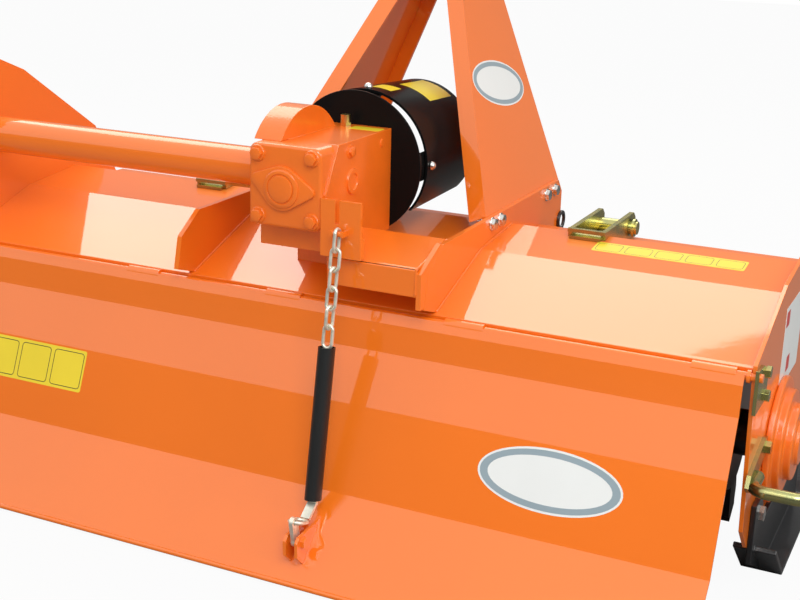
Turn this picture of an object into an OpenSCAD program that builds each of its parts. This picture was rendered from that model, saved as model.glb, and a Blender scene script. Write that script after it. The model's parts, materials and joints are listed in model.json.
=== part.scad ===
// Rotary tiller for a three-point hitch, parked on its skids
// X runs across the machine, +Y is the direction of travel, Z is up from the ground
// the origin is on the ground under the middle of the outline

/* [Main sizes] */
// inside width between the end plates
inner_w = 1360; // [1000:10:1700]
// height of the rotor shaft above the ground
rotor_h = 200; // [195:1:230]
// how far the rotor shaft lies ahead of the gearbox
rotor_y = 165; // [140:1:200]
// radius swept by the tine tips
tine_r = 188; // [160:1:190]
// height of the input shaft above the sweep of the tines
deck_rise = 164; // [150:1:190]
// half distance between the mast bracket plates
bracket_x = 212; // [180:1:260]

/* [Sheet metal] */
// thickness of the hood sheet
hood_t = 4; // [3:0.5:6]
// thickness of the end plates
plate_t = 6; // [5:0.5:10]
// thickness of the bracket plates
bracket_t = 8; // [6:0.5:12]
// thickness of the flap sheet
flap_t = 3; // [2:0.5:5]
// thickness of the mast leg sheet
leg_t = 6; // [4:0.5:8]

/* [Gearbox] */
// half width of the gearbox body
gb_hw = 60; // [50:1:80]
// half depth of the gearbox body
gb_hd = 107; // [90:1:130]
// radius of the axle tube on the left
tube_r = 30; // [24:0.5:40]

/* [Shaft guard] */
// outer radius of the guard collar
guard_r = 117; // [100:1:130]
// length of the guard hood
guard_len = 210; // [150:1:260]
// gap between the collar's back and the guard hood
guard_gap = 30; // [20:1:45]

/* [Rotor] */
// radius of the rotor tube
rotor_tube_r = 35; // [30:1:45]
// number of tine flanges
flange_n = 7; // [5:1:8]
// pairs of tines on each flange
tine_pairs = 3; // [2:1:3]

/* [Hitch] */
// radius of the lower hitch pins
lower_pin_r = 11; // [10.5:0.5:14]
// half distance between the lower pin shoulders
lower_x = 341.5; // [330:0.5:420]
// height of the top link hole above the lower pins
mast_h = 460; // [440:1:500]
// radius of the top link hole
top_hole_r = 9.7; // [9.5:0.05:13]

/* [Flap] */
// gap between the flap end and the end plate
flap_gap = 8; // [6:1:20]
// radius of the flap hinge rod
hinge_r = 6; // [5:0.5:8]

/* [Hidden] */
$fn = 48;
hw = inner_w/2;
out_x = hw + plate_t;
zt = rotor_h + tine_r + deck_rise;
// the frame is drawn for an input shaft at 576 and moved by d
d = zt - 576;
stub_r = 22;
spline_r = 17.45;
hinge_y = -56;
hinge_z = 392 + d;
e = 0.01;
// hood profile, outer side, from the rear lip to the front edge
hood_out = [[-40, 402 + d], [125, 460 + d], [256, 474 + d], [340, 446 + d], [340, 382 + d], [402, 382 + d], [424, 250 + d]];
hood_in = inset(hood_out, hood_t);
// flap profile, outer side, from the hinge to the lower edge
flap_out = [[-64, 397 + d], [-70, 382 + d], [-76, 339 + d], [-109, 262 + d], [-158, 139 + d], [-264, 34 + d]];
flap_in = inset(flap_out, -flap_t);
lug_x = 96;
lug_y = -240;
lug_z = zt - 483;
hook_x = 95;
hook_y = -121;
hook_z = zt - 54;
knee_y = -152;
knee_z = zt - 219;
pin_y = 377;
pin_z = zt - 113;
top_y = 500;
top_z = pin_z + mast_h;
body_hw = gb_hw + 4;
body_y = gb_hd + 4;
// bolts of the mast legs, as Y and drop below the input shaft
bolt_at = [[169, zt - 85], [204, zt - 85], [423, zt - 86], [465, zt - 85]];
// mast legs: folded sheets that lean in to the head
leg_x = bracket_x - bracket_t/2;
leg_z = zt - 74;
leg_rear = 161;
leg_front = 506;
leg_rake = 0.54;
leg_rake_front = 0.055;
head_x = 22.5;
head_t = 10;
cap_t = 8;
head_z = top_z - 40;
leg_top_x = 53;
leg_tilt = atan((leg_x - leg_top_x)/(head_z - cap_t - leg_z));
leg_len = (head_z - cap_t - leg_z)/cos(leg_tilt);
// y of the middle of the machine's outline, which is moved to y = 0
flap_end_y = -262;
bead_r = 4;
mid_y = (leg_front + leg_rake_front*leg_len + flap_end_y - bead_r)/2;

// extrude a profile drawn in Y and Z along X from x0 to x1
module along_x(x0, x1) {
  translate([x0, 0, 0]) rotate([90, 0, 90]) linear_extrude(height = x1 - x0) children();
}

// a rod along X
module rod_x(x0, x1, y, z, r) {
  translate([x0, y, z]) rotate([0, 90, 0]) cylinder(h = x1 - x0, r = r);
}

// a rod along Y
module rod_y(y0, y1, x, z, r) {
  translate([x, y0, z]) rotate([-90, 0, 0]) cylinder(h = y1 - y0, r = r);
}

// hexagon along X
module hex_x(x0, x1, y, z, r) {
  translate([x0, y, z]) rotate([0, 90, 0]) cylinder(h = x1 - x0, r = r, $fn = 6);
}

// hexagon along Y
module hex_y(y0, y1, x, z, r) {
  translate([x, y0, z]) rotate([-90, 0, 0]) cylinder(h = y1 - y0, r = r, $fn = 6);
}

// thickness of the side gear case, and how far the ends of the machine stand out from the end plates
case_w = 66;
end_out = 95;

// height of the sloping rear sheet of the hood at y
function hood_at(y) = 402 + d + (y + 40)*58/165;

// every piece is drawn about the gearbox and moved so that the outline's middle is at y = 0
module to_middle() {
  translate([0, -mid_y, 0]) children();
}

module both() {
  children();
  mirror([1, 0, 0]) children();
}

// unit vector along v, and a line of points set off by t to the right of its direction
function unit(v) = v/norm(v);
function side(a, b) = [b[1] + a[1], -a[0] - b[0]];
function inset(p, t) = [for (i = [0:len(p) - 1])
  let (k = max(i, 1), m = min(i, len(p) - 2), a = unit(p[k] - p[k - 1]), b = unit(p[m + 1] - p[m]), n = unit(side(a, b)))
  p[i] + n*t/(n*[a[1], -a[0]])];

function rev(v) = [for (i = [len(v) - 1:-1:0]) v[i]];

module hood() {
  color([0.96, 0.45, 0.12]) to_middle() {
    along_x(-hw, hw) polygon(concat(hood_out, rev(hood_in)));
    along_x(-hw, hw) polygon([hood_out[0], [-46, 400 + d], [-46, 386 + d], [-42, 386 + d], [-42, 396 + d], hood_in[0]]);
  }
}

module front_tube() {
  color([0.94, 0.42, 0.11]) to_middle() along_x(-hw, hw) difference() {
    translate([340, 382 + d]) square([60, 60]);
    translate([345, 387 + d]) square([50, 50]);
  }
}

module plate_left_2d() {
  polygon([[-58, 400 + d], [-92, 560 + d], [-80, 668 + d], [-40, 694 + d], [66, 694 + d], [130, 668 + d], [322, 540 + d],
    [440, 340 + d], [440, 190], [360, 84], [20, 84], [-28, 130], [-48, 280]]);
}

module plate_right_2d() {
  polygon([[-58, 400 + d], [-58, 408 + d], [125, 472 + d], [262, 487 + d], [402, 456 + d], [428, 400 + d], [440, 340 + d],
    [440, 190], [360, 84], [20, 84], [-28, 130], [-48, 280]]);
}

module end_plates() {
  color([0.93, 0.40, 0.10]) to_middle() {
    along_x(hw, out_x) difference() {
      plate_right_2d();
      translate([rotor_y, rotor_h]) circle(r = 30);
      translate([hinge_y, hinge_z]) circle(r = hinge_r + 0.3);
    }
    along_x(-out_x, -hw) difference() {
      plate_left_2d();
      translate([rotor_y, rotor_h]) circle(r = 30);
      translate([hinge_y, hinge_z]) circle(r = hinge_r + 0.3);
      translate([0, zt]) circle(r = tube_r);
    }
  }
}

module hub_covers() {
  color([0.90, 0.36, 0.10]) to_middle() translate([out_x, rotor_y, rotor_h]) rotate([0, 90, 0]) difference() {
    union() {
      cylinder(h = 10, r = 96);
      cylinder(h = 22, r = 78);
      cylinder(h = 34, r = 58);
      cylinder(h = 40, r = 34);
    }
    translate([0, 0, -1]) cylinder(h = 30, r = stub_r + 0.05);
  }
}

module case_2d(g) {
  ra = 92 + g;
  rb = 84 + g;
  polygon([[-ra, zt - 20], [-ra, zt + 40], [-ra + 50, zt + ra], [50, zt + ra], [ra, zt + 50],
    [rotor_y + rb + 20, rotor_h + 60], [rotor_y + rb, rotor_h - 50], [rotor_y + 50, rotor_h - rb],
    [rotor_y - 50, rotor_h - rb], [rotor_y - rb, rotor_h - 30]]);
}

module gear_case() {
  color([0.93, 0.42, 0.11]) to_middle() along_x(-out_x - case_w, -out_x) difference() {
    case_2d(0);
    translate([0, zt]) circle(r = tube_r);
    translate([rotor_y, rotor_h]) circle(r = stub_r + 0.05);
  }
}

module gear_case_cover() {
  color([0.95, 0.44, 0.12]) to_middle() {
    along_x(-out_x - case_w - 12, -out_x - case_w) case_2d(-6);
    rod_x(-out_x - end_out, -out_x - case_w - 12, rotor_y, rotor_h, 46);
    rod_x(-out_x - case_w - 18, -out_x - case_w - 12, 0, zt, 40);
  }
}

module axle_tube() {
  color([0.95, 0.44, 0.12]) to_middle() {
    rod_x(-out_x - case_w, -body_hw - 14, 0, zt, tube_r);
    rod_x(-body_hw - 14, -body_hw, 0, zt, 52);
    rod_x(-hw, -hw + 12, 0, zt, 48);
  }
}

module support_beam() {
  color([0.94, 0.42, 0.11]) to_middle() along_x(body_hw, leg_x) difference() {
    polygon([[15, zt - 76], [-92, zt - 96], [-95, zt - 99], [-95, zt - 139], [15, zt - 139]]);
    polygon([[10, zt - 82], [-90, zt - 101], [-90, zt - 134], [10, zt - 134]]);
  }
}

module gearbox_body() {
  color([0.95, 0.44, 0.12]) to_middle() {
    difference() {
      union() {
        along_x(-body_hw, body_hw) polygon([[-62, zt + 61], [body_y, zt + 61], [body_y, zt - 100], [-70, zt - 100],
          [-70, zt - 61], [-gb_hd + 8, zt - 61], [-gb_hd + 8, zt - 7]]);
        intersection() {
          rod_x(-body_hw - 2, -20, 0, zt, 103);
          translate([-200, -100, zt + 61]) cube([200, 200, 60]);
        }
        // the dome's root in the body
        translate([-body_hw + 10, -50, zt + 56]) cube([body_hw - 40, 100, 10]);
        along_x(-body_hw + 6, body_hw - 6) polygon([[30, hood_at(30)], [60, hood_at(60)], [60, zt - 90], [30, zt - 90]]);
        rod_x(body_hw - 1, body_hw + 3, -18, zt, 19);
      }
      rod_x(body_hw + 1, body_hw + 4, -18, zt, 12);
      rod_y(39, body_y + 1, 0, zt, 25.3);
    }
  }
}

module gearbox_cover() {
  color([0.96, 0.46, 0.13]) to_middle() {
    along_x(-gb_hw, gb_hw) polygon([[-62, zt + 61], [-gb_hd + 8, zt - 7], [-gb_hd + 8, zt - 61], [-gb_hd, zt - 61], [-gb_hd, zt + 53], [-gb_hd + 8, zt + 61]]);
    rod_y(-gb_hd - 10, -gb_hd, 3, zt - 2, 30);
    translate([-46, -gb_hd - 5, zt - 16]) cube([96, 5, 28]);
    for (sx = [-1, 1], sz = [-1, 1]) rod_y(-gb_hd - 3, -gb_hd, sx*45, zt + sz*46, 13);
    for (sx = [-1, 1], sz = [-1, 1]) hex_y(-gb_hd - 9, -gb_hd - 3, sx*45, zt + sz*46, 10);
  }
}

module gearbox_plugs() {
  color([0.85, 0.70, 0.25]) to_middle() {
    translate([-6, 90, zt + 61]) cylinder(h = 6, r = 9, $fn = 6);
    translate([-6, 90, zt + 67]) cylinder(h = 12, r = 8);
  }
}

module bracket_2d() {
  difference() {
    polygon([[-82, 416 + d], [-70, 466 + d], [-19, 500 + d], [486, 505 + d], [leg_front, 482 + d], [leg_front, 410 + d], [476, 382 + d],
      [402, 382 + d], [300, 380 + d], [120, 400 + d], [-40, 402 + d]]);
    polygon(concat([for (i = [0:5]) hood_out[i]], [[300, 200], [-30, 300], [-40, 340]]));
    translate([339, 300]) square([61, 142 + d]);
  }
}

module bracket_plates() {
  color([0.92, 0.38, 0.10]) to_middle() both() difference() {
    along_x(bracket_x - bracket_t/2, bracket_x + bracket_t/2) bracket_2d();
    for (p = bolt_at) rod_x(bracket_x - 20, bracket_x + 20, p[0], p[1], 6.05);
  }
}

module leg_frame() {
  translate([leg_x, 0, leg_z]) rotate([0, -leg_tilt, 0]) children();
}

// y of a leg's edge at the distance t along the leg
function leg_y(y0, rake, t) = y0 + rake*t;

module mast_legs() {
  long = leg_len + 40;
  rear_top = leg_y(leg_rear, leg_rake, long);
  front_top = leg_y(leg_front, leg_rake_front, long);
  color([0.93, 0.42, 0.11]) to_middle() both() {
    difference() {
      union() {
        along_x(leg_x - leg_t, leg_x) polygon([[leg_rear, leg_z + 0.6], [leg_rear, 478 + d], [256, 476 + d], [344, 446 + d],
          [leg_front, 446 + d], [leg_front, leg_z + 0.6]]);
        leg_frame() {
          along_x(-leg_t, 0) polygon([[leg_rear, 0], [leg_front, 0], [front_top, long], [rear_top, long]]);
          along_x(-30, 0) polygon([[leg_rear, 0], [leg_rear + 7, 0], [rear_top + 7, long], [rear_top, long]]);
          along_x(-30, 0) polygon([[leg_front - 7, 0], [leg_front, 0], [front_top, long], [front_top - 7, long]]);
        }
      }
      for (p = bolt_at) rod_x(bracket_x - 20, bracket_x + 20, p[0], p[1], 6.3);
      translate([-200, 100, head_z - cap_t]) cube([400, 600, 200]);
    }
  }
}

module top_link_plates() {
  rear = leg_y(leg_rear, leg_rake, leg_len);
  front = leg_y(leg_front, leg_rake_front, leg_len);
  color([0.93, 0.42, 0.11]) to_middle() {
    translate([-leg_top_x - 6, rear, head_z - cap_t]) cube([2*leg_top_x + 12, front - rear, cap_t]);
    both() difference() {
      along_x(head_x, head_x + head_t) polygon([[rear + 8, head_z - 1], [front, head_z - 1], [front, top_z + 10], [front - 16, top_z + 30],
        [top_y - 32, top_z + 30], [rear + 30, head_z + 22], [rear + 8, head_z]]);
      rod_x(0, 60, top_y, top_z, top_hole_r);
    }
  }
}

module mast_bolts() {
  color([0.80, 0.80, 0.82]) to_middle() both() {
    for (p = bolt_at) {
      hex_x(bracket_x + bracket_t/2, bracket_x + bracket_t/2 + 8, p[0], p[1], 10.9);
      rod_x(leg_x - leg_t - 10, bracket_x + bracket_t/2, p[0], p[1], 6);
    }
  }
}

module guard_collar() {
  color([0.05, 0.05, 0.05]) to_middle() translate([0, body_y, zt]) rotate([-90, 0, 0]) {
    difference() {
      union() {
        cylinder(h = 4, r = guard_r - 2);
        cylinder(h = 13, r = 74);
      }
      translate([0, 0, -1]) cylinder(h = 20, r = 38);
    }
    for (a = [0, 90, 180]) intersection() {
      difference() {
        cylinder(h = 56, r = guard_r - 8.4);
        translate([0, 0, -1]) cylinder(h = 60, r = guard_r - 12);
      }
      rotate([0, 0, -a]) translate([60, -23, 0]) cube([80, 46, 60]);
    }
  }
}

module guard_hood() {
  color([0.06, 0.06, 0.06]) to_middle() translate([0, body_y + guard_gap, zt]) rotate([-90, 0, 0]) difference() {
    rotate_extrude() polygon([[guard_r - 7, 0], [guard_r - 3, 0], [guard_r - 11, guard_len], [guard_r - 15, guard_len]]);
    translate([-200, 74, -1]) cube([400, 200, guard_len + 2]);
    for (a = [0, 90, 180]) rotate([0, 0, -a]) translate([90, 0, 14]) rotate([0, 90, 0]) cylinder(h = 40, r = 4.3);
  }
}

module guard_bolts() {
  color([0.80, 0.80, 0.82]) to_middle() {
    for (a = [0, 90, 180]) translate([0, body_y + guard_gap + 14, zt]) rotate([0, -a, 0]) translate([guard_r - 8.2, 0, 0]) rotate([0, 90, 0]) {
      cylinder(h = 7, r = 4);
      translate([0, 0, 5.8]) cylinder(h = 7, r = 7);
    }
    for (a = [3, 123, 243]) translate([0, body_y + 13, zt]) rotate([0, -a, 0]) translate([64, 0, 0]) rod_y(0, 5, 0, 0, 6);
  }
}

module pto_shaft() {
  color([0.62, 0.62, 0.64]) to_middle() translate([0, 40, zt]) rotate([-90, 0, 0]) {
    cylinder(h = gb_hd - 34, r = 25);
    difference() {
      cylinder(h = gb_hd + 42, r = spline_r);
      for (i = [0:5]) rotate([0, 0, i*60]) translate([14.6, -4.4, gb_hd - 26]) cube([6, 8.8, 69]);
      translate([0, 0, gb_hd + 14]) rotate_extrude() translate([20, 0]) circle(r = 5);
    }
  }
}

module hitch_clamps() {
  color([0.72, 0.68, 0.32]) to_middle() both() {
    for (x = [lower_x - 19.5, lower_x + 34.5]) difference() {
      along_x(x, x + 8) polygon([[232, 471.8 + d], [232, 485 + d], [390, 486 + d], [401, 476 + d], [401, 442 + d], [341, 442 + d], [341, 447.5 + d],
        [340, 446.5 + d], [256, 474.5 + d]]);
      rod_x(x - 1, x + 9, pin_y, pin_z, lower_pin_r + 0.3);
    }
    translate([lower_x - 19.5, 228, 480 + d]) cube([62, 8, 6]);
    along_x(lower_x - 14, lower_x + 37) polygon([[222, 470.9 + d], [256, 474.6 + d], [340, 446.6 + d], [341, 452 + d], [257, 479.6 + d], [222, 476 + d]]);
    translate([lower_x - 19.5, 341, 442 + d]) cube([62, 60, 6]);
  }
}

module hitch_pins() {
  color([0.75, 0.72, 0.40]) to_middle() both() {
    rod_x(lower_x - 26, lower_x + 54, pin_y, pin_z, lower_pin_r);
    rod_x(lower_x + 46, lower_x + 50, pin_y, pin_z, 15);
    rod_x(lower_x - 30, lower_x - 22, pin_y, pin_z, 14);
  }
}

module leg_clips() {
  color([0.05, 0.05, 0.05]) to_middle() both() translate([bracket_x + bracket_t/2, leg_front - 2, zt - 148]) rotate([0, 90, 0]) difference() {
    cylinder(h = 5, r = 18);
    translate([0, 0, -1]) cylinder(h = 7, r = 12);
  }
}

module chain_holder() {
  color([0.95, 0.44, 0.12]) to_middle() {
    rod_x(hook_x - 11, hook_x + 11, hook_y, hook_z, hook_r);
    for (x = [hook_x - 11, hook_x + 7]) translate([x, hook_y - 4, hook_z - 4]) cube([4, -107 - hook_y + 4, 8]);
    difference() {
      translate([gb_hw + 0.2, -108, zt - 93]) cube([64.8, 6, 84]);
      translate([hook_x - 11, -109, zt - 44]) cube([7, 8, 62]);
    }
    translate([gb_hw + 0.2, -102, zt - 93]) cube([64.8, 7, 30]);
  }
}

// one chain link with straight sides, lying in the XZ plane, centred, p long inside
module chain_link(p, r, w) {
  c = w/2 - r;
  s = p/2 - c + r;
  for (m = [0, 1]) mirror([0, 0, m]) translate([0, 0, s]) rotate([90, 0, 0]) rotate_extrude(angle = 180) translate([c, 0]) circle(r = r);
  for (x = [-c, c]) translate([x, 0, -s]) cylinder(h = 2*s, r = r);
}

// the chain hangs straight from the hook, past the point at knee_y and knee_z
chain_a = atan2(hook_y - knee_y, hook_z - knee_z);
chain_lean = 0.4;
chain_n = 6;
link_in = 28;
link_wire = 2.6;
link_w = 19.5;
link_p = link_in - 0.2;
hook_r = link_w/2 - 2*link_wire - 0.45;
link_0 = link_in/2 - hook_r - 0.3;

// the sleeve is hollow: slack chain slides into it when the flap lifts
sleeve_in_x = link_w/2 + 1.25;
sleeve_in_y = link_w/2 + 3.35;
sleeve_wall = 1.2;
sleeve_top = link_0 + (chain_n - 1)*link_p + link_in/2 + 2*link_wire - 4;
sleeve_end = 390;

module chain_frame() {
  translate([hook_x, hook_y, hook_z]) rotate([-chain_a, -chain_lean, 0]) children();
}

// the point at the distance t down the chain
function chain_at(t) = [hook_x + t*cos(chain_a)*sin(chain_lean), hook_y - t*sin(chain_a), hook_z - t*cos(chain_a)*cos(chain_lean)];

module chain_links() {
  color([0.80, 0.80, 0.78]) to_middle() chain_frame() for (i = [0:chain_n - 1])
    translate([0, 0, -i*link_p - link_0]) rotate([0, 0, i == 0 ? 90 : i % 2 == 0 ? 76 : -2]) chain_link(link_in, link_wire, link_w);
}

module oval(a, b) {
  polygon([for (t = [0:9:351]) [a*cos(t), b*sin(t)]]);
}

module chain_sleeve() {
  color([0.05, 0.05, 0.05]) to_middle() chain_frame() translate([0, 0, -sleeve_end]) difference() {
    linear_extrude(height = sleeve_end - sleeve_top) oval(sleeve_in_x + sleeve_wall, sleeve_in_y + sleeve_wall);
    translate([0, 0, 6]) linear_extrude(height = sleeve_end) oval(sleeve_in_x, sleeve_in_y);
  }
}

// the ring that joins the chain's end to the eye on the flap's lug
ring_y = lug_y + 7.6;
ring_z = lug_z + 27;
ring_tilt = 72;
ring_wire = 3;
ring_in = 24;

module chain_end() {
  start = chain_at(sleeve_end + 5);
  reach = ring_in/2 + ring_wire;
  dy = start[1] - ring_y - reach*sin(ring_tilt);
  dz = start[2] - ring_z + reach*cos(ring_tilt);
  color([0.80, 0.80, 0.78]) to_middle() {
    chain_frame() translate([-7, -2.5, -sleeve_end - 8]) cube([14, 5, 7.8]);
    translate(start) rotate([-atan2(dy, dz), 0, 0]) translate([-7, -2.5, -norm([dy, dz]) + ring_wire + 0.3]) cube([14, 5, norm([dy, dz]) - ring_wire]);
    translate([lug_x, ring_y, ring_z]) rotate([ring_tilt, 0, 0]) chain_link(ring_in, ring_wire, 26);
    translate([lug_x, lug_y, lug_z]) rotate([12, 0, 0]) difference() {
      union() {
        translate([-3, -8, 0]) cube([6, 16, 32.3]);
        rod_x(-3, 3, 0, 32.3, 8);
        rod_x(-3, 3, 0, 0, 9);
      }
      rod_x(-4, 4, 0, 0, 5.3);
      rod_x(-4, 4, 0, 32.3, 4);
    }
  }
}

module flap() {
  color([0.96, 0.46, 0.13]) to_middle() {
    along_x(-hw + flap_gap, hw - flap_gap) polygon(concat(flap_out, rev(flap_in)));
    rod_x(-hw + flap_gap, hw - flap_gap, flap_end_y, 33 + d, bead_r);
    difference() {
      for (x = [-hw + 20, -320, -60, 240, hw - 80]) rod_x(x, x + 60, hinge_y, hinge_z, hinge_r + 3.5);
      rod_x(-hw, hw, hinge_y, hinge_z, hinge_r + 0.05);
    }
  }
}

module flap_rod() {
  color([0.70, 0.66, 0.36]) to_middle() {
    rod_x(-out_x - 9, out_x + 9, hinge_y, hinge_z, hinge_r);
    both() rod_x(hw - 6, hw - 1, hinge_y, hinge_z, 9);
  }
}

module flap_lug() {
  color([0.95, 0.44, 0.12]) to_middle() {
    for (x = [lug_x - 12, lug_x + 7]) along_x(x, x + 5) polygon([[-186, 111.3 + d], [-240, 57.8 + d], [-256, 74 + d],
      [-257, 97 + d], [-250, 104 + d], [-200, 107 + d]]);
    rod_x(lug_x - 12, lug_x + 18, lug_y, lug_z, 5);
    hex_x(lug_x + 12, lug_x + 18, lug_y, lug_z, 9);
  }
}

module hinge_strap(front) {
  difference() {
    along_x(out_x, out_x + 5) polygon([[-66, 342 + d], [front, 342 + d], [front, 384 + d], [-30, 402 + d], [-66, 404 + d]]);
    rod_x(out_x - 1, out_x + 6, hinge_y, hinge_z, hinge_r + 0.3);
  }
}

module hinge_straps() {
  color([0.78, 0.70, 0.30]) to_middle() {
    hinge_strap(6);
    for (p = [[-14, 388 + d], [-8, 352 + d]]) hex_x(out_x + 5, out_x + 12, p[0], p[1], 9);
    mirror([1, 0, 0]) hinge_strap(-30);
  }
}

rotor_hl = hw - 12;

module rotor_shaft() {
  color([0.20, 0.20, 0.21]) to_middle() {
    rod_x(-out_x - case_w + 6, out_x + 26, rotor_y, rotor_h, stub_r);
    rod_x(-rotor_hl, rotor_hl, rotor_y, rotor_h, rotor_tube_r);
    for (i = [0:flange_n - 1]) translate([-rotor_hl + 40 + i*(2*rotor_hl - 80)/(flange_n - 1) - 4, 0, 0])
      rod_x(0, 8, rotor_y, rotor_h, 90);
  }
}

// a tine: a flat shank on the flange and a bent blade along X
module tine(s) {
  translate([s > 0 ? 4 : -12, 0, 0]) rotate([90, 0, 90]) linear_extrude(height = 8)
    polygon([[-18, 55], [18, 55], [22, 110], [44, 165], [40, tine_r - 14], [10, tine_r - 14], [-8, 150], [-20, 100]]);
  translate([s > 0 ? 4 : -72, 0, 0]) rotate([90, 0, 90]) linear_extrude(height = 68)
    polygon([[6, tine_r - 20], [40, tine_r - 14], [42, tine_r - 7], [8, tine_r - 12]]);
}

module tines() {
  color([0.14, 0.14, 0.15]) to_middle() translate([0, rotor_y, rotor_h])
    for (i = [0:flange_n - 1], k = [0:2*tine_pairs - 1]) {
      s = (i == 0) ? 1 : (i == flange_n - 1) ? -1 : (k % 2 == 0) ? 1 : -1;
      translate([-rotor_hl + 40 + i*(2*rotor_hl - 80)/(flange_n - 1), 0, 0]) rotate([-(k*180/tine_pairs + i*25), 0, 0]) tine(s);
    }
}

skid_in = hw - 16;
skid_w = 62;
skid_y = 124;

module skids() {
  top = rotor_h - 102;
  color([0.06, 0.06, 0.06]) to_middle() both() {
    along_x(out_x, out_x + 8) polygon([[skid_y, 4], [20, top/2 + 10], [20, rotor_h - 50], [66, rotor_h - 50], [100, top],
      [345, top], [400, rotor_h - 50], [420, top/2 + 10], [420, 4]]);
    along_x(skid_in, skid_in + skid_w) polygon([[skid_y - 90, 75], [skid_y, 0], [420, 0], [484, 46], [480, 52], [417, 8],
      [skid_y + 3, 8], [skid_y - 84.9, 81.2]]);
  }
}

module skid_bolts() {
  color([0.80, 0.80, 0.82]) to_middle() both() {
    for (p = [[46, rotor_h - 70], [392, rotor_h - 90]]) hex_x(out_x + 8, out_x + 16, p[0], p[1], 12);
  }
}

module side_hoop() {
  rod_z = zt - 343;
  far = out_x + end_out - 9;
  color([0.80, 0.70, 0.25]) to_middle() difference() {
    union() {
      along_x(out_x, out_x + 6) polygon([[62, rod_z + 34], [60, rod_z + 8], [-46, rod_z - 10], [-56, rod_z], [-46, rod_z + 15], [48, rod_z + 36]]);
      hex_x(out_x + 6, out_x + 14, 50, rod_z + 21, 10);
      rod_y(-38, -8, out_x + 9, rod_z, 9);
      translate([out_x + 29, -38, rod_z]) rotate([0, 0, 180]) rotate_extrude(angle = 90) translate([20, 0]) circle(r = 9);
      rod_x(out_x + 29, far - 20, -58, rod_z, 9);
      translate([far - 20, -38, rod_z]) rotate([0, 0, 270]) rotate_extrude(angle = 90) translate([20, 0]) circle(r = 9);
      rod_y(-38, 130, far, rod_z, 9);
    }
    rod_y(-80, -40, out_x + 26, rod_z, 3.5);
  }
}

hood();
front_tube();
end_plates();
hub_covers();
gear_case();
gear_case_cover();
axle_tube();
support_beam();
gearbox_body();
gearbox_cover();
gearbox_plugs();
bracket_plates();
mast_legs();
top_link_plates();
mast_bolts();
guard_collar();
guard_hood();
guard_bolts();
pto_shaft();
hitch_clamps();
hitch_pins();
leg_clips();
chain_holder();
chain_links();
chain_sleeve();
chain_end();
flap();
flap_rod();
flap_lug();
hinge_straps();
rotor_shaft();
tines();
skids();
skid_bolts();
side_hoop();
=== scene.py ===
import json
import math
import bmesh
import bpy
from mathutils import Matrix, Vector, noise


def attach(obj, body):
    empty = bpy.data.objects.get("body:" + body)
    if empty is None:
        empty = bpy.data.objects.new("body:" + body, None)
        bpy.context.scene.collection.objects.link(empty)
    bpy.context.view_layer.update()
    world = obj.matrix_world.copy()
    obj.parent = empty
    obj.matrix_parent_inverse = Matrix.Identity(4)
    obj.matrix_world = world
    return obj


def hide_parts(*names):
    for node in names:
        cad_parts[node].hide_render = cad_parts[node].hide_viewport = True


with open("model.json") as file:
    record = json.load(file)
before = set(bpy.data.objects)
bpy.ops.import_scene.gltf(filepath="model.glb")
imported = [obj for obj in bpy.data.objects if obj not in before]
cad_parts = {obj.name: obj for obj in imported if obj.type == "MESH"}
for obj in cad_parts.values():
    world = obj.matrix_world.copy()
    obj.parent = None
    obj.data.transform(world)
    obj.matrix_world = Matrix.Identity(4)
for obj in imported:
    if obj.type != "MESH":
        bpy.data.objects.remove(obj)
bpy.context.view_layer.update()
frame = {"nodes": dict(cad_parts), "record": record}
nodes = frame["nodes"]
record = frame["record"]
joints = {j["name"]: j for j in record["behaviour"]["joints"]}
body_of = {n: b for b, group in record["behaviour"]["bodies"].items() for n in group}
slot_of = {p["node"]: p["material_slot"] for p in record["subparts"]}

# all sizes below are in mm, and MM turns them into the scene's metres
MM = 0.001
X, Y, Z = Vector((1, 0, 0)), Vector((0, 1, 0)), Vector((0, 0, 1))

# how far the input joint lies ahead of the middle of the gearbox, and that middle on the shaft's axis
INPUT_AHEAD = 100
SHAFT = Vector(joints["input_spin"]["pos_m"]) - Y * INPUT_AHEAD * MM


def in_mm(x, y, z):
    """A vector given in mm."""
    return Vector((x, y, z)) * MM


def at(x, y, z):
    """A point given in mm from the middle of the gearbox."""
    return SHAFT + in_mm(x, y, z)


# camera: place and axes in the row frame, lens in mm on a sensor of SENSOR mm
EYE = at(955.30, -1718.70, 409.78)
RIGHT = Vector((0.9016788, 0.4316476, 0.0256086))
UP = Vector((-0.1518853, 0.2607144, 0.9533933))
SENSOR = 36
LENS = 59.1136
SHIFT = (-0.00784, 0.00984)

cam = bpy.data.objects.new("camera", bpy.data.cameras.new("camera"))
bpy.context.scene.collection.objects.link(cam)
axes = Matrix((RIGHT, UP, RIGHT.cross(UP))).transposed()
cam.matrix_world = Matrix.Translation(EYE) @ axes.to_4x4()
cam.data.sensor_width = SENSOR
cam.data.lens = LENS
cam.data.shift_x, cam.data.shift_y = SHIFT
bpy.context.scene.camera = cam
bpy.context.scene.view_settings.view_transform = "Standard"


# ---------- materials ----------
COAT_IOR = 1.8
COAT_ROUGH = 0.04
# the slow wave in a sheet and the fine grain of a surface, in the scene's metres
WAVE_DEPTH, WAVE_SCALE = 0.004, 5.0
GRAIN_DEPTH = 0.0005
# the part of the noise over which a colour drifts from its dark to its plain shade
DRIFT = (0.35, 0.65)


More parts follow.
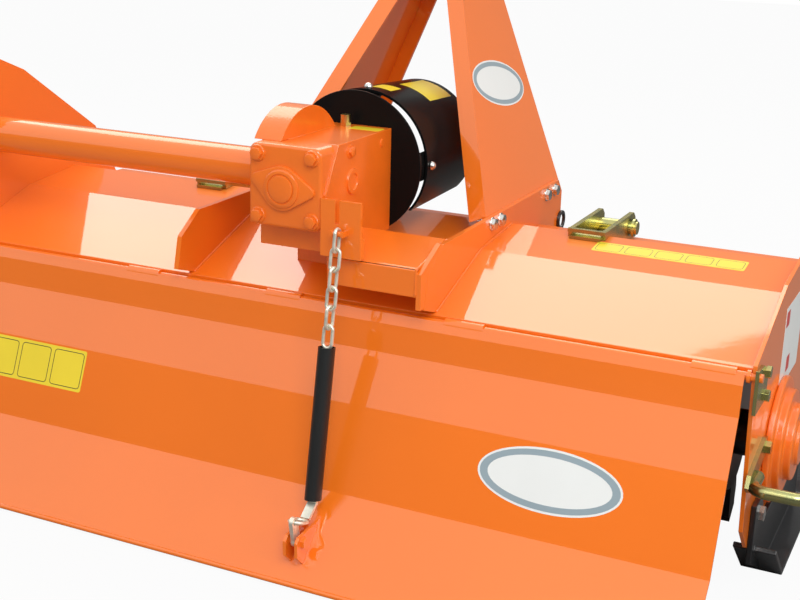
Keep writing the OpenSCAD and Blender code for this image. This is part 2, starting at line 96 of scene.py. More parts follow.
def shader(name, colour, rough, metal=0.0, coat=0.0, bump=0.0, bump_scale=300.0, vary=0.0,
           vary_scale=8.0, dark=None, wave=0.0, gloss=None):
    """A finish: colour drifts by vary, the surface is broken by fine bump and by a slow wave."""
    m = bpy.data.materials.new(name)
    m.use_nodes = True
    t = m.node_tree
    s = t.nodes["Principled BSDF"]
    s.inputs["Base Color"].default_value = (*colour, 1)
    s.inputs["Roughness"].default_value = rough
    s.inputs["Metallic"].default_value = metal
    s.inputs["Coat Weight"].default_value = coat
    # a coated finish reflects with its coat, so its base reflects less
    s.inputs["Specular IOR Level"].default_value = gloss if gloss is not None else 0.5 - 0.4 * coat
    s.inputs["Coat Roughness"].default_value = COAT_ROUGH
    s.inputs["Coat IOR"].default_value = COAT_IOR
    where = t.nodes.new("ShaderNodeTexCoord")

    def noise_at(scale, detail):
        n = t.nodes.new("ShaderNodeTexNoise")
        n.inputs["Scale"].default_value = scale
        n.inputs["Detail"].default_value = detail
        t.links.new(where.outputs["Object"], n.inputs["Vector"])
        return n

    if vary:
        ramp = t.nodes.new("ShaderNodeValToRGB")
        low = dark or tuple(c * (1 - vary) for c in colour)
        for stop, position, shade in zip(ramp.color_ramp.elements, DRIFT, (low, colour)):
            stop.position = position
            stop.color = (*shade, 1)
        t.links.new(noise_at(vary_scale, 4).outputs["Fac"], ramp.inputs["Fac"])
        t.links.new(ramp.outputs["Color"], s.inputs["Base Color"])
    normal = None
    for strength, distance, scale in ((wave, WAVE_DEPTH, WAVE_SCALE), (bump, GRAIN_DEPTH, bump_scale)):
        if not strength:
            continue
        b = t.nodes.new("ShaderNodeBump")
        b.inputs["Strength"].default_value = strength
        b.inputs["Distance"].default_value = distance
        t.links.new(noise_at(scale, 2).outputs["Fac"], b.inputs["Height"])
        if normal:
            t.links.new(normal.outputs["Normal"], b.inputs["Normal"])
        normal = b
    if normal:
        t.links.new(normal.outputs["Normal"], s.inputs["Normal"])
        if coat:
            t.links.new(normal.outputs["Normal"], s.inputs["Coat Normal"])
    return m


# colour, roughness and the rest of each of the record's finishes
FINISHES = {
    "orange_paint": ((0.90, 0.185, 0.010), 0.40,
                     dict(coat=0.9, bump=0.04, bump_scale=70, vary=0.04, vary_scale=3, wave=0.10)),
    "cast_orange": ((0.87, 0.170, 0.010), 0.38,
                    dict(coat=0.6, bump=0.45, bump_scale=230, vary=0.07, vary_scale=20, wave=0.5)),
    "black_plastic": ((0.007, 0.007, 0.007), 0.26,
                      dict(bump=0.1, bump_scale=500, vary=0.2, wave=0.4, gloss=0.07)),
    "black_rubber": ((0.012, 0.013, 0.013), 0.36, dict(bump=0.4, bump_scale=160, vary=0.2)),
    "black_steel": ((0.014, 0.014, 0.015), 0.34, dict(coat=0.3, bump=0.2, bump_scale=150, vary=0.3)),
    "zinc_yellow": ((0.66, 0.56, 0.20), 0.27,
                    dict(metal=1.0, bump=0.1, bump_scale=200, vary=0.35, vary_scale=45,
                         dark=(0.46, 0.48, 0.22))),
    "zinc_silver": ((0.80, 0.80, 0.76), 0.26,
                    dict(metal=1.0, bump=0.1, bump_scale=300, vary=0.2, vary_scale=80)),
    "brass": ((0.75, 0.60, 0.22), 0.28, dict(metal=1.0, bump=0.1, vary=0.2, vary_scale=80)),
    "steel": ((0.50, 0.50, 0.50), 0.30, dict(metal=1.0, bump=0.1, vary=0.2, vary_scale=80)),
}
# the same for the stickers' inks
INKS = {
    "yellow": ((0.86, 0.66, 0.03), 0.38, dict(coat=0.3, vary=0.05)),
    "white": ((0.80, 0.82, 0.80), 0.35, dict(coat=0.4, vary=0.03)),
    "blue_grey": ((0.30, 0.38, 0.42), 0.32, dict(coat=0.4, vary=0.08)),
    "dark": ((0.05, 0.045, 0.02), 0.40, dict(vary=0.1)),
    "red": ((0.62, 0.03, 0.02), 0.38, dict(coat=0.3, vary=0.05)),
}
finish = {name: shader(name, colour, rough, **rest) for name, (colour, rough, rest) in FINISHES.items()}
# the chain is a paler, duller zinc than the bolts
pale_zinc = shader("pale_zinc", (0.92, 0.90, 0.76), 0.38, metal=0.7, bump=0.1, bump_scale=300,
                   vary=0.25, vary_scale=80)
PALE_NODES = ("chain_links", "chain_end")
sticker = {name: shader("sticker_" + name, colour, rough, **rest)
           for name, (colour, rough, rest) in INKS.items()}


def paint(ob, material):
    ob.data.materials.clear()
    ob.data.materials.append(material)
    for p in ob.data.polygons:
        p.material_index = 0


for node, ob in nodes.items():
    paint(ob, pale_zinc if node in PALE_NODES else finish[slot_of[node]])


# ---------- pieces ----------
def piece(name, bm, body, material, smooth_deg=35):
    """A mesh piece from bm, smooth across edges flatter than smooth_deg."""
    bm.normal_update()
    for f in bm.faces:
        f.smooth = True
    for e in bm.edges:
        e.smooth = len(e.link_faces) == 2 and e.calc_face_angle(0) < math.radians(smooth_deg)
    me = bpy.data.meshes.new(name)
    bm.to_mesh(me)
    bm.free()
    ob = bpy.data.objects.new(name, me)
    bpy.context.scene.collection.objects.link(ob)
    paint(ob, material)
    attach(ob, body)
    return ob


# ---------- the nodes' own meshes with rolled edges ----------
# how wide the sharp edges of each node are rolled over
ROLL = {
    "hood": 1.0, "front_tube": 3.0, "end_plates": 1.2, "hub_covers": 3.0, "gear_case": 5.0,
    "gear_case_cover": 3.0, "axle_tube": 1.5, "support_beam": 3.0, "gearbox_body": 6.0,
    "bracket_plates": 1.2,
    "mast_legs": 1.6, "top_link_plates": 1.5, "guard_collar": 1.0, "guard_hood": 1.0,
    "hitch_clamps": 1.2, "chain_holder": 1.0, "flap": 0.9, "flap_lug": 1.0, "hinge_straps": 0.8,
    "skids": 1.5, "leg_clips": 1.0}
WIDE_ROLL = 2
ROLL_OVER_DEG = 30
# the bends of these sheets are shallow and stay crisp
BENT_SHEETS = ("hood", "flap")
CRISP_DEG, ROUND_DEG = 0.5, 12
# vertices closer than this, in metres, are one, and facets flatter than this are joined
SAME_SPOT, FLAT_DEG = 1e-5, 0.4


def rounded(node, width, segments, smooth_deg):
    """The node's own mesh with its sharp edges rolled over by width."""
    src = nodes[node]
    bm = bmesh.new()
    bm.from_mesh(src.data)
    bm.transform(src.matrix_world)
    bmesh.ops.remove_doubles(bm, verts=bm.verts, dist=SAME_SPOT)
    bmesh.ops.dissolve_limit(bm, angle_limit=math.radians(FLAT_DEG), verts=bm.verts, edges=bm.edges)
    ob = piece(node + "_skin", bm, body_of[node], finish[slot_of[node]], smooth_deg)
    bev = ob.modifiers.new("rolled_edges", "BEVEL")
    bev.width = width * MM
    bev.segments = segments
    bev.limit_method = "ANGLE"
    bev.angle_limit = math.radians(ROLL_OVER_DEG)
    bev.use_clamp_overlap = True
    bev.harden_normals = True
    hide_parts(node)


for node, width in ROLL.items():
    rounded(node, width, segments=3 if width > WIDE_ROLL else 2,
            smooth_deg=CRISP_DEG if node in BENT_SHEETS else ROUND_DEG)


# ---------- mesh forms ----------
def frame_on(origin, out, up):
    """A matrix whose Z is out of a surface and whose Y is as near as may be to up."""
    z = out.normalized()
    x = up.cross(z).normalized()
    y = z.cross(x)
    m = Matrix((x, y, z)).transposed().to_4x4()
    m.translation = origin
    return m


def moved(place, x, y, z=0.0):
    """The place moved by x, y and z along its own axes."""
    return place @ Matrix.Translation(in_mm(x, y, z))


def polar(r, a):
    """Both coordinates of the point at radius r and angle a, in radians."""
    return r * math.cos(a), r * math.sin(a)


def turns(count):
    """Angles that divide a full turn by count."""
    return [2 * math.pi * i / count for i in range(count)]


def band(bm, a, b):
    """Faces between two closed rings of as many vertices."""
    for i in range(len(a)):
        j = (i + 1) % len(a)
        bm.faces.new((a[i], a[j], b[j], b[i]))


def tube(bm, rings):
    """A closed skin over rings of vertices, one after the other."""
    for a, b in zip(rings, rings[1:]):
        band(bm, a, b)
    bm.faces.new(list(reversed(rings[0])))
    bm.faces.new(rings[-1])


def lathe(bm, profile, place, count=24):
    """A turned form: profile is a list of (radius, height) about place's Z."""
    tube(bm, [[bm.verts.new(place @ in_mm(*polar(r, a), h)) for a in turns(count)] for r, h in profile])


# shares of a hexagon head: its chamfer's drop, its shoulder and the flat on its top
HEX_SIDES = 24
HEX_CHAMFER, HEX_SHOULDER, HEX_TOP = 0.16, 0.94, 0.46
WASHER_T, WASHER_EDGE = 1.9, 0.5


def hex_head(bm, place, flats, height, washer=0.0, end=0.0, end_r=0.0):
    """A hexagon head or nut with a chamfered top, on a washer, with a bolt's end standing out."""
    base = 0.0
    if washer:
        base = WASHER_T
        rim = [(washer, 0), (washer, base - WASHER_EDGE), (washer - WASHER_EDGE, base)]
        lathe(bm, rim + [(flats * 0.4, base)], place, 28)
    half, corner = flats / 2, flats / math.sqrt(3)
    low, mid, top = [], [], []
    for a in turns(HEX_SIDES):
        edge = half / math.cos((a % (math.pi / 3)) - math.pi / 6)
        drop = (edge - half) / (corner - half) * height * HEX_CHAMFER
        low.append(bm.verts.new(place @ in_mm(*polar(edge, a), base)))
        mid.append(bm.verts.new(place @ in_mm(*polar(edge, a), base + height * HEX_SHOULDER - drop)))
        top.append(bm.verts.new(place @ in_mm(*polar(flats * HEX_TOP, a), base + height)))
    tube(bm, [low, mid, top])
    if end:
        lathe(bm, [(end_r, base + height - 0.2), (end_r * 0.8, base + height + end)], place, 20)


def hull(bm, circles, place, low, high, draft=1.2, count=40):
    """The convex hull of circles (x, y, r), from low to high over place, with a rolled top edge."""
    steps = ((low, 0), (high - draft, 0.15), (high - 0.3 * draft, 0.5), (high, 1.2))
    made = []
    for x, y, r in circles:
        for h, share in steps:
            for dx, dy in (polar(r - share * draft, a) for a in turns(count)):
                made.append(bm.verts.new(place @ in_mm(x + dx, y + dy, h)))
    inner = bmesh.ops.convex_hull(bm, input=made)["geom_interior"]
    inner = [v for v in inner if isinstance(v, bmesh.types.BMVert)]
    bmesh.ops.delete(bm, geom=inner, context="VERTS")


def slab(bm, outline, x0, x1):
    """A flat plate across X from x0 to x1 with an outline of (y, z)."""
    tube(bm, [[bm.verts.new(at(x, y, z)) for y, z in outline] for x in (x0, x1)])
    bmesh.ops.recalc_face_normals(bm, faces=bm.faces)


def outline_box(w, h, r, steps=5):
    """A rectangle of w by h with corners of radius r."""
    pts = []
    for sx, sy, a0 in ((1, 1, 0), (-1, 1, 90), (-1, -1, 180), (1, -1, 270)):
        for i in range(steps + 1):
            dx, dy = polar(r, math.radians(a0 + 90 * i / steps))
            pts.append((sx * (w / 2 - r) + dx, sy * (h / 2 - r) + dy))
    return pts


def outline_oval(a, b, steps=48):
    return [(a * math.cos(t), b * math.sin(t)) for t in turns(steps)]


def film(bm, pts, place, low, high, hole=None):
    """A thin plate of outline pts from low to high over the surface, with a hole of as many points."""
    def ring(line, h):
        return [bm.verts.new(place @ in_mm(x, y, h)) for x, y in line]

    a, b = ring(pts, low), ring(pts, high)
    if hole is None:
        tube(bm, [a, b])
        return
    c, d = ring(hole, low), ring(hole, high)
    for inner, outer in ((a, b), (b, d), (d, c), (c, a)):
        band(bm, inner, outer)


# ---------- bolts ----------
# the mast's bolts, as y and z, from the bracket's outer face to the leg's inner face
MAST_BOLTS = ((169, -85), (204, -85), (423, -86), (465, -85))
BRACKET_OUT, LEG_IN = 216, 202
MAST_FLATS, MAST_HEAD, MAST_NUT, MAST_WASHER = 17, 6.1, 7.5, 11
MAST_SHANK_R, MAST_END_R = 5.6, 5
# how the heads and the nuts are turned about their bolts
HEAD_UP, NUT_UP = Vector((0, 0.2, 1)), Vector((0, 0.5, 1))
# the dome headed screws of the shaft guard, from the collar's straps out
GUARD_SCREW_DEG = (0, 90, 180)
GUARD_SCREW_SEAT, GUARD_SCREW_Y = 108.8, 155
SCREW_SHANK = ((4.0, 0), (4.0, 5.8))
SCREW_DOME = ((7.0, 5.8), (7.0, 6.6), (6.9, 7.2), (6.2, 9.4), (4.8, 11.2), (2.6, 12.3),
              (0.6, 12.7))
# the small bolts of the guard's collar, on a circle about the shaft
COLLAR_BOLT_DEG = (3, 123, 243)
COLLAR_BOLT_R, COLLAR_FACE = 64, 124
COLLAR_FLATS, COLLAR_HEAD = 10, 4.8


def mast_hardware():
    bm = bmesh.new()
    shank = BRACKET_OUT - LEG_IN
    for side in (-1, 1):
        for y, z in MAST_BOLTS:
            outer = frame_on(at(side * BRACKET_OUT, y, z), X * side, HEAD_UP)
            hex_head(bm, outer, MAST_FLATS, MAST_HEAD, MAST_WASHER)
            inner = frame_on(at(side * LEG_IN, y, z), -X * side, NUT_UP)
            hex_head(bm, inner, MAST_FLATS, MAST_NUT, MAST_WASHER, end=0.5, end_r=MAST_END_R)
            lathe(bm, [(MAST_SHANK_R, 0.2), (MAST_SHANK_R, shank - 0.2)], moved(inner, 0, 0, -shank), 20)
    ob = piece("mast_hardware", bm, "frame", finish["zinc_silver"])
    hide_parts("mast_bolts")


def about_shaft(r, y, deg):
    """The point at radius r and an angle in degrees about the shaft, and the direction out from it."""
    c, s = polar(1, math.radians(deg))
    return at(r * c, y, r * s), Vector((c, 0, s))


def guard_screws():
    bm = bmesh.new()
    for deg in GUARD_SCREW_DEG:
        spot, out = about_shaft(GUARD_SCREW_SEAT, GUARD_SCREW_Y, deg)
        place = frame_on(spot, out, Y)
        lathe(bm, SCREW_SHANK, place, 16)
        lathe(bm, SCREW_DOME, place, 24)
    for deg in COLLAR_BOLT_DEG:
        spot, out = about_shaft(COLLAR_BOLT_R, COLLAR_FACE, deg)
        hex_head(bm, frame_on(spot, Y, out), COLLAR_FLATS, COLLAR_HEAD)
    ob = piece("guard_screws", bm, "frame", finish["zinc_silver"])
    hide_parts("guard_bolts")


# ---------- gearbox ----------
# the cover's rear face, and its joint with the body: upright below the knee, leaning forward above it
COVER_BACK, COVER_JOINT, COVER_KNEE = -107, -99, -7
COVER_TOP, COVER_TOP_JOINT = 61, -62
COVER_HALF, COVER_FOOT, COVER_CORNER = 60, -61, 13
COVER_ROLL = 5
COVER_FACE = frame_on(at(0, COVER_BACK, 0), -Y, Z)
# the bearing flange as circles (x, z, r) under one hull, and the ringed cap on it
FLANGE = ((-4, -2, 33), (-45, 9, 9), (42, -4, 8))
FLANGE_T = 5
CAP_AT = (-3, -2)
CAP = ((29, 4), (28.5, 6.5), (27, 7.6), (22.5, 8), (21.5, 6.6), (20.6, 6.6), (19.6, 8.6),
       (16, 9.8), (6, 10))
COVER_BOLT_X, COVER_BOLT_Z = 45, 46
COVER_PAD = ((12.5, -2), (12.3, 1.6), (11.2, 2.8), (9, 3))
COVER_BOLT_SEAT, COVER_FLATS, COVER_HEAD = 2.6, 16.5, 6
# a bolt on its pad and a plug on the right side face, as y and z
SIDE_FACE = 64
SIDE_BOLT, SIDE_FLATS, SIDE_HEAD = (-25, 46), 14, 5
SIDE_PAD = ((11, -0.5), (10.8, 0.9), (10, 1.3), (7, 1.4))
SIDE_PLUG = (78, 43)
PLUG_FORM = ((6.5, -0.5), (6.3, 1.2), (5.4, 1.7), (3, 1.5))


def cover_plate(bm):
    """The square cover with round corners, thin below and wedge shaped above the knee."""
    middle = (COVER_TOP + COVER_FOOT) / 2
    box = outline_box(2 * COVER_HALF, COVER_TOP - COVER_FOOT, COVER_CORNER, 6)
    knees = [(-COVER_HALF, COVER_KNEE), (COVER_HALF, COVER_KNEE)]
    outline = [(x, z + middle) for x, z in box] + knees
    outline.sort(key=lambda p: math.atan2(p[1] - middle, p[0]))
    lean = (COVER_TOP_JOINT - COVER_JOINT) / (COVER_TOP - COVER_KNEE)
    back = [bm.verts.new(at(x, COVER_BACK, z)) for x, z in outline]
    front = [bm.verts.new(at(x, COVER_JOINT + max(0, z - COVER_KNEE) * lean, z)) for x, z in outline]
    band(bm, back, front)
    bm.faces.new(list(reversed(back)))
    a, b = sorted(outline.index(k) for k in knees)
    bm.faces.new(front[a:b + 1])
    bm.faces.new(front[b:] + front[:a + 1])
    bmesh.ops.recalc_face_normals(bm, faces=bm.faces)
    rim = [e for e in bm.edges if all(v in back for v in e.verts)]
    bmesh.ops.bevel(bm, geom=rim, offset=COVER_ROLL * MM, segments=4, profile=0.5, affect="EDGES")


def gearbox_cover():
    bm = bmesh.new()
    cover_plate(bm)
    hull(bm, FLANGE, COVER_FACE, -0.5, FLANGE_T)
    lathe(bm, CAP, moved(COVER_FACE, *CAP_AT), 40)
    for sx in (-1, 1):
        for sz in (-1, 1):
            place = moved(COVER_FACE, COVER_BOLT_X * sx, COVER_BOLT_Z * sz)
            lathe(bm, COVER_PAD, place, 32)
            hex_head(bm, moved(place, 0, 0, COVER_BOLT_SEAT), COVER_FLATS, COVER_HEAD)
    ob = piece("gearbox_cover_cast", bm, "frame", finish["cast_orange"], 40)
    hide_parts("gearbox_cover")


def side_fittings():
    """Painted bolt and plug on the gearbox's right side."""
    bm = bmesh.new()
    bolt = frame_on(at(SIDE_FACE, *SIDE_BOLT), X, Z)
    lathe(bm, SIDE_PAD, bolt, 28)
    hex_head(bm, moved(bolt, 0, 0, 1), SIDE_FLATS, SIDE_HEAD)
    lathe(bm, PLUG_FORM, frame_on(at(SIDE_FACE, *SIDE_PLUG), X, Z), 24)
    ob = piece("gearbox_side_fittings", bm, "frame", finish["cast_orange"], 40)


# the right bracket's toe against the end of the beam, and the beam's closed end, as y and z
TOE = ((-94.6, -157), (-94.6, -104), (-29, -72.6), (-19, -77), (-66, -111), (-78, -157))
TOE_X = (208.3, 215.7)
BEAM_END = ((14, -77), (-91.5, -96.6), (-94.5, -99.4), (-94.5, -138.5), (14, -138.5))
BEAM_END_X = (204, 207.8)


def beam_end():
    bm = bmesh.new()
    slab(bm, BEAM_END, *BEAM_END_X)
    slab(bm, TOE, *TOE_X)
    ob = piece("beam_end", bm, "frame", finish["orange_paint"], 12)


# ---------- weld beads ----------
# one bead at each end of the axle tube, as x, on a circle just over the tube
TUBE_ENDS, TUBE_BEAD_AT = (-79, -667), 31
# along both faces of each bracket plate, as x, down on the hood, as y and z
PLATE_FACES = (207, 217)
HOOD_SEAM = ((-40, -173.5), (125, -115.5), (256, -101.5))
# round the beam's end, and over its top at the gearbox, as y and z
BEAM_RIM = ((-94, -137), (-93, -98), (14, -77))
BEAM_X = (65, 207)
TUBE_BEAD, HOOD_BEAD, BEAM_BEAD = 2.6, 1.9, 2.2
BEAD_SIDES = 8


def bead(bm, points, r, step=2.2):
    """A weld bead: a rippled tube of radius r along points."""
    pts = [at(*p) for p in points]
    path = []
    for a, b in zip(pts, pts[1:]):
        n = max(2, int((b - a).length / (step * MM)))
        path += [a.lerp(b, i / n) for i in range(n)]
    path.append(pts[-1])
    last = len(path) - 1
    rings = []
    for i, p in enumerate(path):
        d = (path[min(i + 1, last)] - path[max(i - 1, 0)]).normalized()
        u = d.orthogonal().normalized()
        v = d.cross(u)
        swell = r * (1 + 0.16 * (i % 2) + 0.25 * noise.noise(p * 90))
        if i in (0, last):
            swell *= 0.4
        rings.append([bm.verts.new(p + (u * math.cos(a) + v * math.sin(a)) * swell * MM)
                      for a in turns(BEAD_SIDES)])
    tube(bm, rings)


def ring_points(x, r, count=30):
    """A closed circle of radius r about the axis of the axle tube."""
    return [(x, *polar(r, 2 * math.pi * i / count)) for i in range(count + 1)]


def welds():
    bm = bmesh.new()
    for x in TUBE_ENDS:
        bead(bm, ring_points(x, TUBE_BEAD_AT), TUBE_BEAD)
    for side in (-1, 1):
        for x in PLATE_FACES:
            bead(bm, [(side * x, y, z) for y, z in HOOD_SEAM], HOOD_BEAD)
    near, far = BEAM_X
    bead(bm, [(far, y, z) for y, z in BEAM_RIM], BEAM_BEAD)
    bead(bm, [(near, y, z) for y, z in BEAM_RIM[1:]], BEAM_BEAD)
    ob = piece("weld_beads", bm, "frame", finish["cast_orange"], 60)


# ---------- blank stickers ----------
# a sheet lies from FILM_LOW to FILM_HIGH over its surface, and what is printed on it rises to INK_HIGH
FILM_LOW, FILM_HIGH, INK_HIGH = 0.02, 0.25, 0.33
# the sheets that carry stickers, each from one edge to the other along its outer side, x left out
FLAP_3, FLAP_4 = Vector((0, -109, -314)), Vector((0, -158, -437))
HOOD_2, HOOD_3 = Vector((0, 125, -116)), Vector((0, 256, -102))
# the right leg's outer face, from its foot to its head
LEG_FOOT, LEG_HEAD = Vector((208, 0, -74)), Vector((53, 0, 299))
# stickers on sheets: x across and the distance along the sheet, then width and height, or half axes
FLAP_BADGE = ((434, 50), (106, 45))
FLAP_SIGN = ((-473, 37), (204, 68))
DECK_SIGN = ((493, 50), (236, 40))
# the legs' badges: distance up the leg, y, turn in degrees and half axes
LEG_BADGE_UP, LEG_BADGE_Y, LEG_BADGE_TURN = 195, 383, -8
LEG_BADGE = (103, 40)
# the label on the gearbox, and the sheet with two red blocks on the right end plate
GEARBOX_SIGN_AT, GEARBOX_SIGN = (34, 84, 61), (52, 26)
END_SIGN_AT, END_SIGN = (686, 218, -208), (150, 128)
END_BLOCKS, END_BLOCK = ((-56, 44), (-16, -36)), (26, 24, 3)
# two labels bent round the shaft guard: the arc in degrees and the span in y
GUARD_SIGNS = (((74, 92), (172, 212)), ((52, 84), (245, 335)))
# the guard is a slight cone: where it starts, its outer radius there, how much it narrows and its length
GUARD_START, GUARD_R, GUARD_TAPER, GUARD_LEN = 141, 114, 8, 210


def badge(name, place, a, b, body):
    """A blank oval badge: a white face in a blue grey border with a thin white rim."""
    bm = bmesh.new()
    film(bm, outline_oval(a, b), place, FILM_LOW, FILM_HIGH)
    piece(name + "_face", bm, body, sticker["white"])
    bm = bmesh.new()
    film(bm, outline_oval(a * 0.97, b * 0.93), place, FILM_HIGH, INK_HIGH,
         outline_oval(a * 0.86, b * 0.74))
    piece(name + "_border", bm, body, sticker["blue_grey"])


def panel_label(name, place, w, h, body, colour="yellow", panels=0, line=1.2):
    """A blank label of w by h, with a row of blank panels drawn as lines."""
    bm = bmesh.new()
    film(bm, outline_box(w, h, min(4, h / 6)), place, FILM_LOW, FILM_HIGH)
    piece(name + "_face", bm, body, sticker[colour])
    if panels:
        bm = bmesh.new()
        corner = 6
        step = w / panels
        pw, ph = step - 7, h - 9
        for i in range(panels):
            middle = moved(place, (i + 0.5) * step - w / 2, 0)
            film(bm, outline_box(pw, ph, corner), middle, FILM_HIGH, INK_HIGH,
                 outline_box(pw - 2 * line, ph - 2 * line, corner - line))
        piece(name + "_panels", bm, body, sticker["dark"])


def on_sheet(a, b, x, s):
    """A place on the outer face of the sheet from a to b, at x and s along it; its Y points from b to a."""
    d = (b - a).normalized()
    out = X.cross(d)
    if out.dot(Z - Y) < 0:
        out = -out
    p = a + d * s
    return frame_on(at(x, p.y, p.z), out, -d)


def wrap(bm, arc, span, steps=12):
    """A thin label bent round the shaft guard over arc in degrees and span in y."""
    low, high = 0.05, 0.3
    start, stop = span
    corners = [(GUARD_R - GUARD_TAPER * (y - GUARD_START) / GUARD_LEN + h, y)
               for h, y in ((low, start), (high, start), (high, stop), (low, stop))]
    rings = []
    for i in range(steps + 1):
        a = math.radians(arc[0] + (arc[1] - arc[0]) * i / steps)
        rings.append([bm.verts.new(at(r * math.cos(a), y, r * math.sin(a))) for r, y in corners])
    tube(bm, rings)
    bmesh.ops.recalc_face_normals(bm, faces=bm.faces)


def leg_badges():
    d = (LEG_HEAD - LEG_FOOT).normalized()
    p = LEG_FOOT + d * LEG_BADGE_UP
    for side, name in ((1, "leg_badge_right"), (-1, "leg_badge_left")):
        out, up = Vector((d.z * side, 0, -d.x)), Vector((d.x * side, 0, d.z))
        turn = Matrix.Rotation(math.radians(LEG_BADGE_TURN * side), 4, "Z")
        badge(name, frame_on(at(side * p.x, LEG_BADGE_Y, p.z), out, up) @ turn, *LEG_BADGE, "frame")


def end_sign():
    end = frame_on(at(*END_SIGN_AT), X, Z)
    panel_label("end_sign", end, *END_SIGN, "frame", colour="white")
    bm = bmesh.new()
    for y, z in END_BLOCKS:
        film(bm, outline_box(*END_BLOCK), moved(end, y, z), FILM_HIGH, INK_HIGH)
    piece("end_sign_blocks", bm, "frame", sticker["red"])


def guard_signs():
    bm = bmesh.new()
    for arc, span in GUARD_SIGNS:
        wrap(bm, arc, span)
    piece("guard_signs", bm, "frame", sticker["yellow"])


def stickers():
    spot, size = FLAP_BADGE
    badge("flap_badge", on_sheet(FLAP_3, FLAP_4, *spot), *size, "flap")
    spot, size = FLAP_SIGN
    panel_label("flap_sign", on_sheet(FLAP_3, FLAP_4, *spot), *size, "flap", panels=3)
    spot, size = DECK_SIGN
    panel_label("deck_sign", on_sheet(HOOD_3, HOOD_2, *spot), *size, "frame", panels=5, line=0.8)
    leg_badges()
    panel_label("gearbox_sign", frame_on(at(*GEARBOX_SIGN_AT), Z, Y), *GEARBOX_SIGN, "frame")
    end_sign()
    guard_signs()


mast_hardware()
guard_screws()
gearbox_cover()
side_fittings()
beam_end()
welds()
stickers()


# ---------- floor, backdrop and light ----------
# half width of the floor in metres, its grey, and the share of that grey that gloss shows
FLOOR_HALF = 12.0
FLOOR_GREY, FLOOR_IN_GLOSS = 0.42, 0.35
# how far the camera sees the floor as plain white
FLOOR_WHITE = 0.95
SKY_LIGHT = 0.80
# seen in gloss, the sky is bright above an angle over the ground, and dim surroundings lie below it:
# the angle and its softness in degrees and the dim level, behind and ahead of the machine
REAR_TREES = (20.7, 1.2, 0.10)
FRONT_TREES = (49.0, 4.0, 0.30)
# lamps: place, target and size in metres, watts and tint
LAMPS = {
    "over_front": ((-1.5, 2.2, 3.2), (-0.3, 0, 0.4), (4.0, 2.0), 85, (1.0, 0.92, 0.80)),
    "over_rear": ((1.6, -2.4, 3.0), (0, 0, 0.4), (2.0, 2.0), 65, (1, 1, 1)),
    "from_right": ((3.2, -0.6, 1.9), (0, 0, 0.6), (1.6, 1.2), 22, (1, 1, 1)),
}


def value_map(tree, value, span, levels):
    """A node that maps value over span, or over 0 to 1, to the two levels."""
    n = tree.nodes.new("ShaderNodeMapRange")
    if span:
        n.inputs["From Min"].default_value, n.inputs["From Max"].default_value = span
    n.inputs["To Min"].default_value, n.inputs["To Max"].default_value = levels
    tree.links.new(value, n.inputs["Value"])
    return n.outputs[0]


def value_math(tree, kind, a, b):
    """A math node of a kind over two values, each a number or an output."""
    n = tree.nodes.new("ShaderNodeMath")
    n.operation = kind
    for i, v in enumerate((a, b)):
        if isinstance(v, (int, float)):
            n.inputs[i].default_value = v
        else:
            tree.links.new(v, n.inputs[i])
    return n.outputs[0]


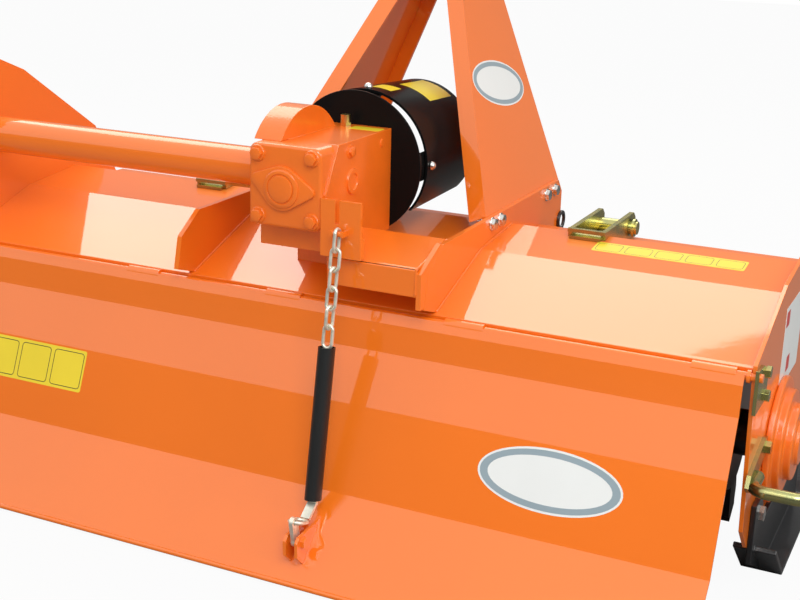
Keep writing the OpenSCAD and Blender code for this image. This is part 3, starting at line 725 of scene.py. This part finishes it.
def studio():
    """A floor that is white to the camera, keeps the shadow and is grey to light."""
    me = bpy.data.meshes.new("floor")
    r = FLOOR_HALF
    me.from_pydata([(-r, -r, 0), (r, -r, 0), (r, r, 0), (-r, r, 0)], [], [(0, 1, 2, 3)])
    floor = bpy.data.objects.new("floor", me)
    bpy.context.scene.collection.objects.link(floor)
    m = bpy.data.materials.new("floor_white")
    m.use_nodes = True
    t = m.node_tree
    t.nodes.remove(t.nodes["Principled BSDF"])
    diff = t.nodes.new("ShaderNodeBsdfDiffuse")
    glow = t.nodes.new("ShaderNodeEmission")
    glow.inputs["Color"].default_value = (1, 1, 1, 1)
    path = t.nodes.new("ShaderNodeLightPath")
    mix = t.nodes.new("ShaderNodeMixShader")
    grey = value_map(t, path.outputs["Is Glossy Ray"], None, (FLOOR_GREY, FLOOR_GREY * FLOOR_IN_GLOSS))
    t.links.new(grey, diff.inputs["Color"])
    t.links.new(value_math(t, "MULTIPLY", path.outputs["Is Camera Ray"], FLOOR_WHITE), mix.inputs["Fac"])
    t.links.new(diff.outputs[0], mix.inputs[1])
    t.links.new(glow.outputs[0], mix.inputs[2])
    t.links.new(mix.outputs[0], t.nodes["Material Output"].inputs["Surface"])
    me.materials.append(m)


def sky():
    """White to the camera, a plain level of light, and in gloss a bright sky over dim surroundings."""
    w = bpy.data.worlds.new("world")
    bpy.context.scene.world = w
    w.use_nodes = True
    t = w.node_tree
    bg = t.nodes["Background"]
    bg.inputs["Color"].default_value = (1, 1, 1, 1)
    path = t.nodes.new("ShaderNodeLightPath")
    where = t.nodes.new("ShaderNodeTexCoord")
    axis = t.nodes.new("ShaderNodeSeparateXYZ")
    t.links.new(where.outputs["Generated"], axis.inputs[0])

    def bright_over(value, trees):
        top, soft, level = trees
        return value_map(t, value, (math.radians(top - soft), math.radians(top + soft)), (level, 1.0))

    glossy = path.outputs["Is Glossy Ray"]
    behind = value_math(t, "MULTIPLY", axis.outputs["Y"], -1.0)
    rise = value_math(t, "ARCTAN2", axis.outputs["Z"], behind)
    rear = bright_over(rise, REAR_TREES)
    front = bright_over(value_math(t, "SUBTRACT", math.pi, rise), FRONT_TREES)
    in_gloss = value_math(t, "MULTIPLY", value_math(t, "MINIMUM", rear, front), glossy)
    diffuse = value_math(t, "MULTIPLY", value_math(t, "SUBTRACT", 1.0, glossy), SKY_LIGHT)
    seen = value_math(t, "MAXIMUM", in_gloss, diffuse)
    t.links.new(value_math(t, "MAXIMUM", seen, path.outputs["Is Camera Ray"]), bg.inputs["Strength"])


def softbox(name, place, target, size, watts, tint):
    la = bpy.data.lights.new(name, "AREA")
    la.shape = "RECTANGLE"
    la.size, la.size_y = size
    la.energy = watts
    la.color = tint
    ob = bpy.data.objects.new(name, la)
    bpy.context.scene.collection.objects.link(ob)
    ob.location = place
    ob.rotation_mode = "QUATERNION"
    ob.rotation_quaternion = (Vector(target) - Vector(place)).to_track_quat("-Z", "Y")


studio()
sky()
for name, lamp in LAMPS.items():
    softbox(name, *lamp)
